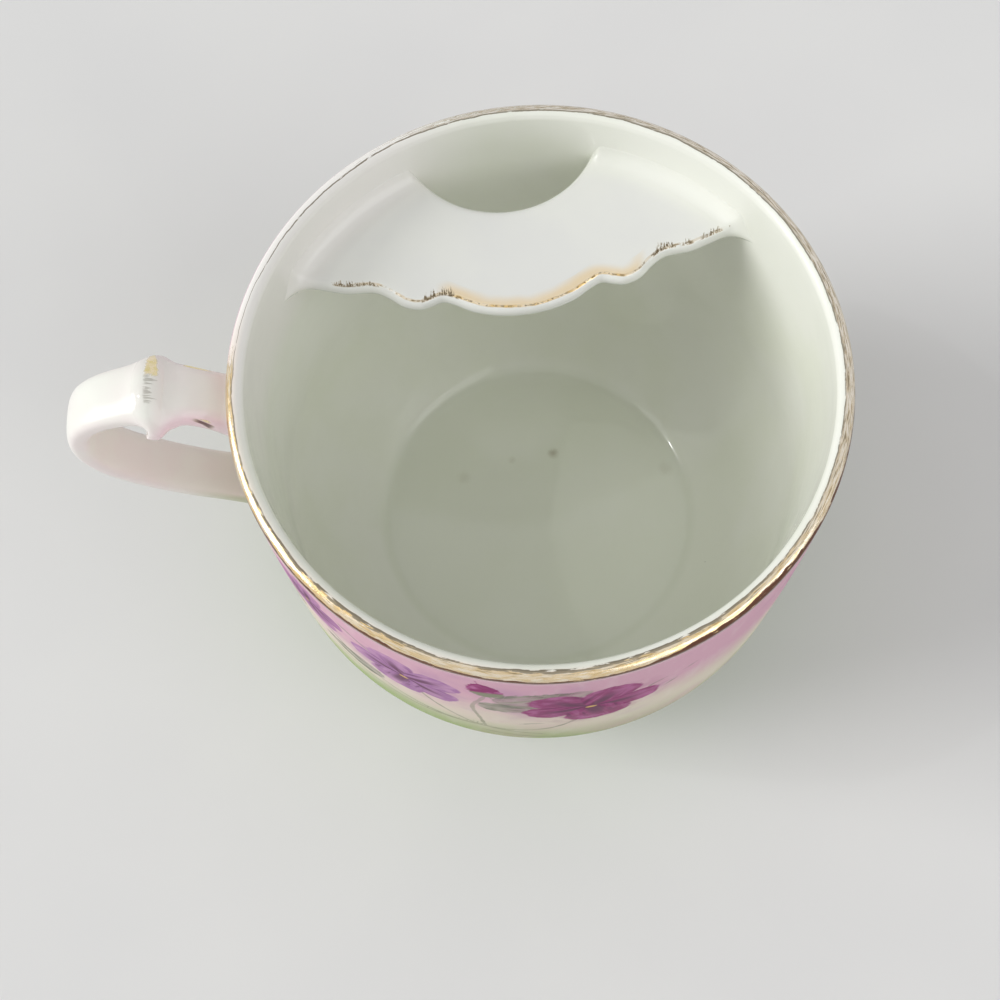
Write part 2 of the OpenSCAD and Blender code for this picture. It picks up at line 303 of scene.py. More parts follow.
def edge_distance(points, line):
    """Distance of each point from a line of points."""
    flat = points.reshape(-1, 2)
    best = np.full(len(flat), np.inf)
    for a, b in zip(line[:-1], line[1:]):
        t = np.clip(((flat - a) @ (b - a)) / max((b - a) @ (b - a), 1e-12), 0, 1)
        best = np.minimum(best, np.hypot(*(flat - a - t[:, None] * (b - a)).T))
    return best.reshape(points.shape[:-1])


def guard_plan():
    """Front and back ends of the guard's columns, and the reach of each column's rolled back end."""
    half = [(x * BORE_R, GUARD_TIP + y * GUARD_SWEEP) for x, y in GUARD_EDGE_SHARES]
    line = smooth([(-x, y) for x, y in half[:0:-1]] + half, 24)
    wall_r = BORE_R + HIDDEN
    line = evenly(line, 2400)
    line = line[np.hypot(*line.T) < wall_r]
    swing = np.sign(line[:, 0]) * fillet(BORE_R - np.hypot(*line.T), FILLET_END) / BORE_R
    x, y = line.T
    line = np.stack([x * np.cos(swing) + y * np.sin(swing), y * np.cos(swing) - x * np.sin(swing)], 1)
    front = evenly(line, GUARD_COLUMNS)
    corner_y = (wall_r**2 + SIP_Y**2 - SIP_R**2) / (2 * SIP_Y)
    corner_x = math.sqrt(wall_r**2 - corner_y**2)
    hole_angle = math.asin(corner_x / SIP_R)
    knee = corner_x * 1.1
    x = front[:, 0]
    beta = hole_angle * x / knee
    hole = np.stack([SIP_R * np.sin(beta), SIP_Y - SIP_R * np.cos(beta)], 1)
    corner_angle = math.atan2(corner_y, corner_x)
    end_angle = math.atan2(front[-1, 1], front[-1, 0])
    share = np.clip((np.abs(x) - knee) / (x[-1] - knee), 0, 1)
    theta = corner_angle + (end_angle - corner_angle) * share
    wall = np.stack([np.sign(x) * wall_r * np.cos(theta), wall_r * np.sin(theta)], 1)
    back = np.where((np.abs(x) < knee)[:, None], hole, wall)
    at_wall = ease(np.abs(x), knee - 0.5, knee + 2)
    return line, front, back, at_wall


def guard_height(reach, radius):
    """Height of a quarter round at a distance from its edge."""
    inside = np.clip(radius - reach, 0, radius)
    return np.sqrt(np.maximum(radius**2 - inside**2, 0))


def fillet(reach, radius):
    inside = radius - np.clip(reach, 0, radius)
    return radius - np.sqrt(np.maximum(radius**2 - inside**2, 0))


def guard_sheets():
    """Grids of the guard's top and underside, the distance from the front edge, and along it."""
    line, front, back, at_wall = guard_plan()
    length = np.linalg.norm(back - front, axis=1)
    roll = GUARD_T / 2
    quarter = 1 - np.cos(np.radians(np.linspace(0, 90, 11)))
    near = np.concatenate([roll * quarter, np.linspace(roll, 3.6, 8)[1:]])
    back_round = roll + (FILLET_TOP - roll) * at_wall
    rear = HIDDEN * at_wall + back_round * quarter[::-1][:, None]
    fit = np.minimum(1, length / (1.3 * (near[-1] + rear[0])))
    start = near[:, None] * fit
    end = length - rear * fit
    share = np.linspace(0, 1, 22)[1:-1, None]
    middle = start[-1] + (end[0] - start[-1]) * share
    rows = np.vstack([start, middle, end, length]) / np.maximum(length, 1e-6)
    plan = front + (back - front) * rows[..., None]
    from_front = edge_distance(plan, line)
    from_hole = np.hypot(plan[..., 0], plan[..., 1] - SIP_Y) - SIP_R
    from_edge = np.maximum(np.minimum(from_front, from_hole), 0)
    from_wall = BORE_R - np.hypot(plan[..., 0], plan[..., 1])
    fade = ease(from_edge, 0, 1.6)
    rise = guard_height(from_edge, roll)
    top = GUARD_MID_Z + rise + fillet(from_wall, FILLET_TOP) * fade
    under = GUARD_MID_Z - rise - fillet(from_wall, FILLET_UNDER) * fade
    along = np.broadcast_to(run_length(front) - run_length(front)[-1] / 2, top.shape)
    sheets = [np.concatenate([plan, z[..., None]], -1) for z in (top, under)]
    return sheets[0], sheets[1], from_front, along


def make_guard():
    top, under, inward, along = guard_sheets()
    ring = turned(np.concatenate([top, under[:0:-1]]), GUARD_TURN)
    faces = grid_faces(*ring.shape[:2], wrap_rows=True)
    joined = {
        "inward": np.concatenate([inward, inward[:0:-1]]),
        "along": np.concatenate([along, along[:0:-1]]),
    }
    make_piece("guard", ring, faces, [guard_glaze()], "mustache_guard", joined)

    below, above = 6, 17
    covered = np.abs(top[0, :, 0]) < 34
    film = np.concatenate([under[below:0:-1], top[:above]])[:, covered]
    film = stand_off(film, FILM, np.array([0, 0, GUARD_MID_Z]) + film[below] * [1, 1, 0] + [0, 4, 0])
    marks = {
        "inward": np.concatenate([-inward[below:0:-1], inward[:above]])[:, covered],
        "along": np.concatenate([along[below:0:-1], along[:above]])[:, covered],
    }
    faces = grid_faces(*film.shape[:2])
    make_piece(
        "guard_gold", turned(film, GUARD_TURN), faces, [guard_gold()], "guard_gilding", marks
    )


def strap_grid(path, angles, off):
    """Points of the strap's skin: rows along the path, columns round the section."""
    d = np.gradient(path[:, :2], axis=0)
    d /= np.linalg.norm(d, axis=1, keepdims=True)
    out, height, half_w, half_t, droop = (path[:, k, None] for k in range(5))
    across = np.sign(np.cos(angles)) * np.abs(np.cos(angles)) ** STRAP_SQUARENESS
    lift = np.sign(np.sin(angles)) * np.abs(np.sin(angles)) ** STRAP_SQUARENESS
    up = (half_t + off) * lift - droop * across**2
    return np.stack([-(out - up * d[:, 1:]), (half_w + off) * across, height + up * d[:, :1]], -1)


def strap_surface(off):
    """The strap's skin with its fillets of slip, cut off inside the wall."""
    path = smooth(
        [
            (
                RIM_R + s[0] * (HANDLE_REACH - RIM_R),
                HEEL_END_Z + s[1] * (CREST_Z - HEEL_END_Z),
                (s[2] * STRAP_W + s[5] * (EAR_W - STRAP_W)) / 2,
                s[3] * STRAP_T / 2,
                s[4] * EAR_DROOP,
            )
            for s in HANDLE_SHARES
        ],
        STRAP_STEPS,
    )
    angles = np.linspace(0, 2 * math.pi, STRAP_SIDES, endpoint=False)
    grid = strap_grid(path, angles, off)
    stand = np.hypot(grid[..., 0], grid[..., 1]) - side_r(grid[..., 2])
    grid = strap_grid(path, angles, off + fillet(stand, STRAP_FILLET))
    radius = np.hypot(grid[..., 0], grid[..., 1])
    kept = np.maximum(radius, BORE_R + LIP_R) / radius
    grid[..., :2] *= kept[..., None]
    rows = np.arange(len(path)) / STRAP_STEPS
    marks = np.stack(np.broadcast_arrays(rows[:, None], np.cos(angles), np.sin(angles)), -1)
    return grid, marks


def make_handle():
    grid, marks = strap_surface(-SKIN_INSET)
    rows, sides = grid.shape[:2]
    faces = grid_faces(rows, sides, wrap_columns=True)
    faces.append(list(range(sides)))
    faces.append([(rows - 1) * sides + i for i in range(sides)][::-1])
    make_piece("strap", grid, faces, [strap_glaze()], "handle", {"strap": marks})

    skin, marks = strap_surface(FILM)
    first, last = int(1.6 * STRAP_STEPS), int(6.6 * STRAP_STEPS)
    half = STRAP_SIDES // 2
    sides = np.arange(-4, half + 5) % STRAP_SIDES
    film, marks = skin[first:last, sides], marks[first:last, sides]
    faces = grid_faces(*film.shape[:2])
    make_piece("strap_gold", film, faces, [strap_gold()], "handle_gilding", {"strap": marks})


# How the lip's gold is worn round the cup. Each row is a place in degrees, the share of gold that is
# left, its warmth, and in millimetres where the gold ends inside, where the dark outline ends, and
# half the width of the broken line along the gold's inner edge.
RIM_WEAR = [
    (-180, 0.95, 0.75, 1.95, 0.10, 0.06), (-165, 1.00, 1.00, 1.90, 0.15, 0.10),
    (-150, 1.00, 1.00, 1.90, 0.60, 0.20), (-130, 1.00, 0.95, 2.00, 0.80, 0.30),
    (-118, 1.00, 0.80, 2.05, 0.80, 0.26), (-104, 1.00, 0.62, 2.10, 0.60, 0.08),
    (-92, 1.00, 0.62, 2.15, 0.55, 0.32), (-80, 1.00, 0.75, 2.20, 0.50, 0.26),
    (-66, 1.00, 0.95, 2.30, 1.15, 0.24), (-50, 1.00, 0.80, 2.40, 1.30, 0.16),
    (-35, 1.00, 0.50, 2.40, 1.05, 0.10), (-15, 1.00, 0.25, 2.40, 0.60, 0.08),
    (10, 0.95, 0.15, 2.35, 0.20, 0.10), (40, 0.85, 0.10, 2.35, 0.20, 0.12),
    (70, 0.80, 0.05, 2.35, 0.20, 0.12), (100, 0.70, 0.05, 2.35, 0.20, 0.11),
    (125, 0.45, 0.05, 2.35, 0.10, 0.10), (145, 0.20, 0.05, 2.30, 0.00, 0.08),
    (160, 0.10, 0.05, 2.10, -0.30, 0.03), (172, 0.35, 0.40, 2.00, -0.30, 0.03),
    (180, 0.95, 0.75, 1.95, 0.10, 0.06),
]
RIM_UNDER = 1.2


def make_rim_gold():
    """The gold on the lip, with its dark outlines and a little bare lip on each side."""
    low = np.linspace(LIP_Z - RIM_UNDER, LIP_Z, 7)
    section = np.vstack([
        np.stack([side_r(low) + FILM, low], 1)[:-1],
        arc(RIM_R - LIP_R, LIP_Z, LIP_R + FILM, LIP_R + FILM, 0, 140, 28),
    ])
    angle = np.linspace(-math.pi, math.pi, CUP_COLUMNS, endpoint=False)
    grid = np.stack([
        section[:, :1] * np.cos(angle), section[:, :1] * np.sin(angle), section[:, 1:] + 0 * angle
    ], -1)
    faces = grid_faces(len(section), CUP_COLUMNS, wrap_columns=True)
    across = np.broadcast_to(run_length(section)[:, None] - RIM_UNDER, grid.shape[:2])
    table = np.array(RIM_WEAR)
    worn = [np.interp(np.degrees(angle), table[:, 0], column) for column in table.T[1:]]
    gold_left, warmth, gold_edge, outline, inner_line = (np.broadcast_to(w, across.shape) for w in worn)
    marks = {
        "across": across,
        "gilt": np.stack([gold_left, warmth, gold_edge], -1),
        "lines": np.stack([outline, inner_line, across], -1),
    }
    make_piece("rim_gold", grid, faces, [rim_gold()], "rim_gilding", marks)


# Painted violets. Each row is a place round the cup in degrees from the handle's far side, a height
# in millimetres, a size in millimetres, a turn in degrees and a shade from 0, lilac, to 1, magenta.
FLOWERS_BEHIND = [
    (-140, 60, 7.4, 25, 0.30), (-50, 23, 4.6, 30, 0.40), (-24, 60, 6.2, 30, 0.90),
    (10, 43, 6.4, -25, 0.25), (49, 59, 6.6, 15, 0.60), (87, 44, 6.4, -30, 1.00),
    (123, 60, 6.4, 10, 0.35), (161, 52, 5.8, -20, 0.80),
]
FLOWERS_BEFORE = [
    (-118, 55, 9.0, -20, 0.12), (-83, 52.5, 10.2, 10, 1.00), (-29, 45, 7.0, -22, 0.50),
    (-8, 55, 9.2, 16, 0.08), (30, 49, 8.8, -12, 0.90), (68, 56, 9.2, 20, 0.25),
    (105, 49, 8.6, -15, 0.75), (143, 56, 8.0, 12, 0.15),
]
# Leaves and buds: place, height, length, turn of the tip from straight up, and shade.
LEAVES_BEHIND = [
    (-131, 45, 12, 70, 0.2), (-97, 52.5, 11, -88, 0.9), (-61, 22, 10, -100, 0.5),
    (-16, 38, 11, 125, 0.6), (16, 60, 12, -50, 0.3), (52, 44, 13, -115, 0.7),
    (88, 60, 12, 50, 0.5), (124, 44, 13, -120, 0.3), (158, 40, 12, 100, 0.6),
]
LEAVES_BEFORE = [
    (-150, 50, 11, 60, 0.6), (-91.5, 59.5, 16, -60, 0.55), (-39, 25, 10, 80, 0.4),
    (2, 39, 12, 100, 0.2), (38, 37, 12, -80, 0.5), (76, 42, 13, 140, 0.4),
    (112, 38, 12, 95, 0.7), (146, 42, 12, 150, 0.3),
]
BUDS = [
    (-153, 60, 5.4, 20, 0.5), (-102.3, 63, 8.0, 12, 0.0),
    (-26, 49, 5.2, -30, 0.8), (12, 62, 5.8, 25, 0.1), (50, 50, 5.4, 40, 0.7),
    (86, 63, 5.6, -65, 0.2), (122, 51, 5.4, -20, 0.6), (166, 61, 5.4, 30, 0.3),
]
# Stems and stray strokes: each is a line of places round the cup in degrees and heights in millimetres.
STEMS = [
    [(-153, 58), (-146, 48), (-134, 40), (-119, 35), (-103, 34)],
    [(-140, 60), (-134, 50), (-126, 42), (-114, 36), (-103, 34)],
    [(-118, 55), (-114, 46), (-109, 39), (-103, 34), (-92, 31)],
    [(-101.5, 62), (-103, 57), (-105, 50), (-104, 42), (-103, 34)],
    [(-83, 53), (-85, 44), (-90, 37), (-97, 34), (-103, 34)],
    [(-29, 45), (-32, 36), (-38, 28), (-50, 23), (-66, 23), (-84, 26), (-103, 30)],
    [(-24, 60), (-20, 50), (-14, 41), (-2, 35), (12, 32)],
    [(-8, 55), (-7, 45), (-3, 37), (4, 33), (16, 31)],
    [(12, 60), (15, 50), (16, 40), (20, 34), (30, 30)],
    [(30, 49), (29, 40), (24, 34), (16, 31), (2, 30)],
    [(49, 59), (52, 49), (56, 40), (64, 34), (78, 31)],
    [(68, 56), (69, 45), (72, 36), (80, 32), (94, 30)],
    [(86, 61), (90, 50), (92, 40), (93, 34), (96, 30)],
    [(105, 49), (104, 40), (100, 34), (92, 31), (78, 30)],
    [(143, 56), (140, 46), (134, 38), (124, 33), (110, 31)],
    [(166, 59), (161, 48), (152, 39), (140, 34), (124, 32)],
    [(-95.4, 40.2), (-94, 40.8), (-92.6, 40.9)],
    [(-72.2, 56.2), (-71, 57.2), (-69.8, 57.6)],
    [(-68.2, 52.6), (-67.2, 53.4)],
    [(-64.6, 57.8), (-63.6, 58.2)],
    [(-130.5, 64.2), (-127, 61.5), (-123, 58.5)],
]
FAR = 9.0


def nearest_motif(angle, height, places):
    """Each spot's place in the frame of its nearest motif, and how far away that motif is."""
    best = np.full(angle.shape, np.inf)
    x, y, shade = (np.full(angle.shape, FAR) for _ in range(3))
    for azimuth, z, size, turn, tone in places:
        du = ((angle - azimuth + 180) % 360 - 180) * math.radians(1) * BELLY_R
        dv = height - z
        c, s = math.cos(math.radians(turn)), math.sin(math.radians(turn))
        px, py = (c * du + s * dv) / size, (c * dv - s * du) / size
        reach = np.hypot(px, py)
        nearer = reach < best
        best[nearer] = reach[nearer]
        x[nearer], y[nearer], shade[nearer] = px[nearer], py[nearer], tone
    return np.stack([x, y, best], -1), shade


def nearest_stem(angle, height):
    """Signed distance across the nearest stem, in millimetres, and distance from it."""
    best = np.full(angle.shape, np.inf)
    across = np.full(angle.shape, FAR)
    flat = np.stack([angle * math.radians(1) * BELLY_R, height], -1)
    for stem in STEMS:
        line = smooth([(a * math.radians(1) * BELLY_R, z) for a, z in stem], 8)
        for a, b in zip(line[:-1], line[1:]):
            run = b - a
            size = np.hypot(*run)
            near = np.abs(flat - (a + b) / 2).max(-1) < size + 3
            spot = flat[near] - a
            t = np.clip((spot @ run) / size**2, 0, 1)
            gap = np.hypot(*(spot - t[:, None] * run).T)
            side = np.sign(spot[:, 0] * run[1] - spot[:, 1] * run[0])
            nearer = gap < best[near]
            kept = np.where(nearer, gap, best[near])
            best[near] = kept
            across[near] = np.where(nearer, gap * side, across[near])
    return np.stack([across, np.minimum(best, FAR)], -1)


def paint_layers(grid):
    """What the cup's paint needs to know at each point of its mesh."""
    angle = np.degrees(np.arctan2(grid[..., 1], grid[..., 0]))
    height = grid[..., 2]
    stems = nearest_stem(angle, height)
    layers = {"stem_across": stems[..., 0], "stem_reach": stems[..., 1]}
    sets = {
        "leaf_behind": LEAVES_BEHIND,
        "leaf_before": LEAVES_BEFORE,
        "bud": BUDS,
        "flower_behind": FLOWERS_BEHIND,
        "flower_before": FLOWERS_BEFORE,
    }
    for name, places in sets.items():
        layers[name], layers[name + "_shade"] = nearest_motif(angle, height, places)
    return layers


class Shader:
    """A material's node tree, with short ways to add the nodes that these materials use."""

    def __init__(self, name):
        self.material = bpy.data.materials.new(name)
        self.material.use_nodes = True
        self.tree = self.material.node_tree
        self.bsdf = self.tree.nodes["Principled BSDF"]
        self.place = self.tree.nodes.new("ShaderNodeTexCoord").outputs["Object"]

    def node(self, kind, inputs, **settings):
        made = self.tree.nodes.new(kind)
        for key, value in settings.items():
            setattr(made, key, value)
        for key, value in inputs.items():
            if isinstance(value, bpy.types.NodeSocket):
                self.tree.links.new(value, made.inputs[key])
            else:
                made.inputs[key].default_value = value
        return made

    def math(self, operation, *values):
        return self.node("ShaderNodeMath", dict(enumerate(values)), operation=operation).outputs[0]

    def attribute(self, name, field="Fac"):
        return self.node("ShaderNodeAttribute", {}, attribute_name=name).outputs[field]

    def split(self, vector):
        return self.node("ShaderNodeSeparateXYZ", {"Vector": vector}).outputs

    def step(self, value, low, high):
        """0 below low and 1 above high, or the other way round where low is the larger."""
        if low > high:
            return self.math("SUBTRACT", 1.0, self.step(value, high, low))
        inputs = {"Value": value, "From Min": low, "From Max": high}
        return self.node("ShaderNodeMapRange", inputs, interpolation_type="SMOOTHSTEP").outputs[0]

    def mix(self, factor, a, b):
        made = self.tree.nodes.new("ShaderNodeMix")
        made.data_type = "RGBA"
        for socket, value in zip((made.inputs[0], made.inputs[6], made.inputs[7]), (factor, a, b)):
            if isinstance(value, bpy.types.NodeSocket):
                self.tree.links.new(value, socket)
            else:
                socket.default_value = value if socket is made.inputs[0] else (*value, 1)
        return made.outputs[2]

    def noise(self, scale, detail=2.0, roughness=0.5, stretch=None, vector=None, offset=0.0):
        """Noise from 0 to 1 whose features are about 1/scale millimetres wide."""
        place = self.place if vector is None else vector
        if vector is None:
            size = (1000 * scale,) * 3 if stretch is None else tuple(1000 * scale * s for s in stretch)
        else:
            size = (scale,) * 3 if stretch is None else tuple(scale * s for s in stretch)
        inputs = {"Vector": place, "Scale": size, "Location": (offset, 2 * offset, 3 * offset)}
        mapped = self.node("ShaderNodeMapping", inputs).outputs[0]
        inputs = {"Vector": mapped, "Scale": 1.0, "Detail": detail, "Roughness": roughness}
        return self.node("ShaderNodeTexNoise", inputs).outputs["Fac"]

    def set(self, **values):
        for key, value in values.items():
            socket = self.bsdf.inputs[key.replace("_", " ")]
            if isinstance(value, bpy.types.NodeSocket):
                self.tree.links.new(value, socket)
            else:
                socket.default_value = value

    def bump(self, height, distance_mm, strength=1.0):
        inputs = {"Height": height, "Distance": distance_mm * MM, "Strength": strength}
        self.set(Normal=self.node("ShaderNodeBump", inputs).outputs[0])


def times(shader, *values):
    """Product of several masks."""
    result = values[0]
    for value in values[1:]:
        result = shader.math("MULTIPLY", result, value)
    return result


# Colours, as linear values
WHITE_GLAZE = (0.865, 0.875, 0.81)
SHADE_GLAZE = (0.825, 0.845, 0.745)
# Painted shade for the floor of the bowl
FLOOR_SHADE_GLAZE = (0.75, 0.78, 0.67)
# Painted shade: the guard's glaze, a darker, cooler copy of the white glaze
GUARD_SHADE_GLAZE = (0.785, 0.79, 0.765)
# Painted shade: a warm tint for the upper far-left inside wall
PAINTED_SHADE_TINT = (0.88, 0.86, 0.83)
STAIN = (0.36, 0.32, 0.22)
SPECK = (0.20, 0.20, 0.14)
PINK_GROUND = (0.66, 0.39, 0.49)
CREAM_GROUND = (0.72, 0.65, 0.54)
GREEN_GROUND = (0.33, 0.42, 0.18)
STRAP_PINK = (0.84, 0.66, 0.70)
LILAC = (0.36, 0.17, 0.39)
MAGENTA = (0.26, 0.02, 0.14)
PALE_PETAL = (0.60, 0.35, 0.54)
ROSE_PETAL = (0.48, 0.14, 0.34)
VEIN = (0.09, 0.01, 0.06)
THROAT = (0.80, 0.52, 0.14)
LEAF_DARK = (0.11, 0.13, 0.09)
LEAF_PALE = (0.36, 0.35, 0.28)
STEM_GREEN = (0.25, 0.26, 0.18)
GOLD = (0.87, 0.63, 0.30)
PALE_GOLD = (0.98, 0.84, 0.62)
FADED_GOLD = (0.60, 0.53, 0.42)
RUBBED_GOLD = (0.88, 0.84, 0.78)
YELLOW_GOLD = (0.84, 0.72, 0.36)
BURNT_GOLD = (0.11, 0.075, 0.03)
OUTLINE = (0.14, 0.058, 0.035)
OLIVE = (0.12, 0.09, 0.04)
BLUSH = (0.84, 0.72, 0.64)
HAZE = (0.80, 0.62, 0.36)
AMBER = (0.92, 0.76, 0.62)
STROKE = (0.10, 0.03, 0.06)
GLAZE_ROUGHNESS = 0.10
STRAP_ROUGHNESS = 0.32
PAINT_ROUGHNESS = 0.18
PAINT_COAT = 0.22
FILM_SHINE = 0.12


def finish_glaze(shader, colour, roughness):
    """Clear glaze over a colour, with the slight ripple of a fired surface."""
    ripple = shader.noise(0.16, 2.0)
    fine = shader.noise(1.6, 2.0, offset=3.0)
    height = shader.math("ADD", ripple, shader.math("MULTIPLY", fine, 0.06))
    shader.bump(height, 0.10, 0.5)
    rough = shader.math("MULTIPLY_ADD", shader.noise(0.35, 3.0, offset=7.0), 0.10, roughness - 0.05)
    shader.set(Base_Color=colour, Roughness=rough, IOR=1.52)
    return shader.material


def pinholes(shader, colour):
    """Rare dark specks in the glaze."""
    cells = shader.node("ShaderNodeTexVoronoi", {"Vector": shader.place, "Scale": 1 / (11 * MM)})
    chance = shader.split(cells.outputs["Color"])[0]
    size = shader.math("MULTIPLY", shader.step(chance, 0.62, 1.0), 0.026)
    depth = shader.math("SUBTRACT", size, cells.outputs["Distance"])
    mask = times(shader, shader.step(depth, 0.0, 0.012), 0.6)
    return shader.mix(mask, colour, SPECK)


# Faint brown marks on the floor inside: place in millimetres, radius and strength
FLOOR_MARKS = [
    ((3.7, 11.9, 5.7), 1.5, 0.55), ((-14.1, 7.5, 5.7), 1.9, 0.16),
    ((-4.5, 10.8, 5.7), 1.1, 0.20), ((25.6, 7.6, 5.9), 2.2, 0.14),
]


def wall_glaze(shader):
    """White porcelain, greener where the glaze is thick, with a painted warm tint of shade high up on the far left."""
    x, y, height = shader.split(shader.place)
    cloud = shader.step(shader.noise(0.045, 3.0), 0.35, 0.70)
    colour = shader.mix(cloud, WHITE_GLAZE, SHADE_GLAZE)
    # Painted shade: a warm pinkish tint high on the far left of the inside wall, carried onto the guard beside it.
    painted_shade_tint = times(
        shader,
        shader.step(height, 50 * MM, 61 * MM),
        shader.step(x, -5 * MM, -25 * MM),
        shader.step(y, -20 * MM, 5 * MM),
    )
    return shader.mix(painted_shade_tint, colour, PAINTED_SHADE_TINT)


def bare_glaze(shader):
    """The inside's glaze with painted shade, darker and greener on the floor, and a few stains there."""
    height = shader.split(shader.place)[2]
    # Painted shade: the floor, below about 6 to 7 mm, darker and greener than the walls.
    floor_shade = shader.math("MULTIPLY", shader.step(height, 7.0 * MM, 5.9 * MM), 0.5)
    colour = shader.mix(floor_shade, wall_glaze(shader), FLOOR_SHADE_GLAZE)
    ragged = shader.noise(0.9, 2.0, offset=13.0)
    for place, radius, strength in FLOOR_MARKS:
        spot = shader.node("ShaderNodeVectorMath", {0: shader.place, 1: Vector(place) * MM}, operation="DISTANCE")
        away = shader.math("DIVIDE", spot.outputs["Value"], radius * MM)
        away = shader.math("ADD", away, shader.math("MULTIPLY", ragged, 0.5))
        mark = shader.math("MULTIPLY", shader.step(away, 1.2, 0.3), strength)
        colour = shader.mix(mark, colour, STAIN)
    return pinholes(shader, colour)


def petal(shader, x, y, centre, half_length, half_width, turn):
    """Mask of one petal, and the place along and across it."""
    c, s = math.cos(math.radians(turn)), math.sin(math.radians(turn))
    dx = shader.math("SUBTRACT", x, centre[0])
    dy = shader.math("SUBTRACT", y, centre[1])
    along = shader.math("MULTIPLY_ADD", dx, c / half_length, shader.math("MULTIPLY", dy, s / half_length))
    across = shader.math("MULTIPLY_ADD", dy, c / half_width, shader.math("MULTIPLY", dx, -s / half_width))
    taper = shader.math("MULTIPLY_ADD", along, -0.28, 1.0)
    wide = shader.math("MULTIPLY", across, taper)
    reach = shader.math("ADD", shader.math("POWER", along, 2.0), shader.math("POWER", wide, 2.0))
    return reach, along, across


PETALS = [
    ((-0.34, 0.44), 0.54, 0.43, 122), ((0.33, 0.47), 0.55, 0.42, 58),
    ((-0.54, -0.10), 0.50, 0.37, 190), ((0.55, -0.12), 0.50, 0.38, -12),
    ((0.02, -0.50), 0.54, 0.50, -88),
]


def paint_petal(shader, colour, spot, tones, petal_index, offset):
    """One petal: a wash that pales to its tip, streaks, and a dark stroke out of the throat."""
    x, y, near, wobble, wash = spot
    deep, pale = tones
    centre, long, wide, turn = PETALS[petal_index]
    size, along, across = petal(shader, x, y, centre, long, wide, turn)
    ragged = shader.math("MULTIPLY_ADD", wobble, 0.6, shader.math("SUBTRACT", size, 0.30))
    mask = times(shader, shader.step(ragged, 1.08, 0.86), near)
    toward_tip = shader.math("MULTIPLY_ADD", shader.step(along, -0.6, 0.9), 0.75, 0.1)
    body = shader.mix(times(shader, shader.step(wash, 0.38, 0.64), toward_tip), deep, pale)
    fan = shader.node("ShaderNodeCombineXYZ", {0: along, 1: across, 2: float(petal_index)}).outputs[0]
    streaks = shader.noise(1.0, 2.0, stretch=(0.7, 4.2, 3.0), vector=fan, offset=offset)
    pale_streaks = times(shader, shader.step(streaks, 0.46, 0.34), 0.35)
    body = shader.mix(pale_streaks, body, pale)
    thin = shader.step(shader.math("ABSOLUTE", across), 0.36, 0.08)
    stroke = times(shader, thin, shader.step(along, 0.80, -0.35))
    vein = times(shader, shader.step(streaks, 0.50, 0.60), shader.step(along, 0.75, -0.4))
    dark = shader.math("MAXIMUM", shader.math("MULTIPLY", stroke, 0.9), shader.math("MULTIPLY", vein, 0.7))
    body = shader.mix(dark, body, VEIN)
    edge = times(shader, shader.step(ragged, 0.66, 0.98), 0.30)
    body = shader.mix(edge, body, deep)
    return shader.mix(shader.math("MULTIPLY", mask, 0.94), colour, body)


def paint_flower(shader, colour, layer, offset):
    """A five-petalled violet in a loose wash, with a small yellow eye."""
    x, y, reach = shader.split(shader.attribute(layer, "Vector"))
    deep = shader.mix(shader.attribute(layer + "_shade"), LILAC, MAGENTA)
    pale = shader.mix(shader.attribute(layer + "_shade"), PALE_PETAL, ROSE_PETAL)
    near = shader.step(reach, 1.25, 1.15)
    wobble = shader.noise(0.45, 4.0, 0.6, offset=offset)
    wash = shader.noise(0.30, 3.0, offset=offset + 5)
    halo = times(shader, shader.step(reach, 1.5, 0.7), shader.step(wash, 0.42, 0.62), 0.30)
    colour = shader.mix(halo, colour, deep)
    for k in range(len(PETALS)):
        colour = paint_petal(shader, colour, (x, y, near, wobble, wash), (deep, pale), k, offset)
    lifted = shader.math("ADD", y, 0.03)
    flat = shader.math("ADD", shader.math("POWER", x, 2.0), shader.math("POWER", shader.math("MULTIPLY", lifted, 1.7), 2.0))
    eye = shader.math("MULTIPLY", shader.step(flat, 0.010, 0.004), near)
    return shader.mix(shader.math("MULTIPLY", eye, 0.85), colour, THROAT)


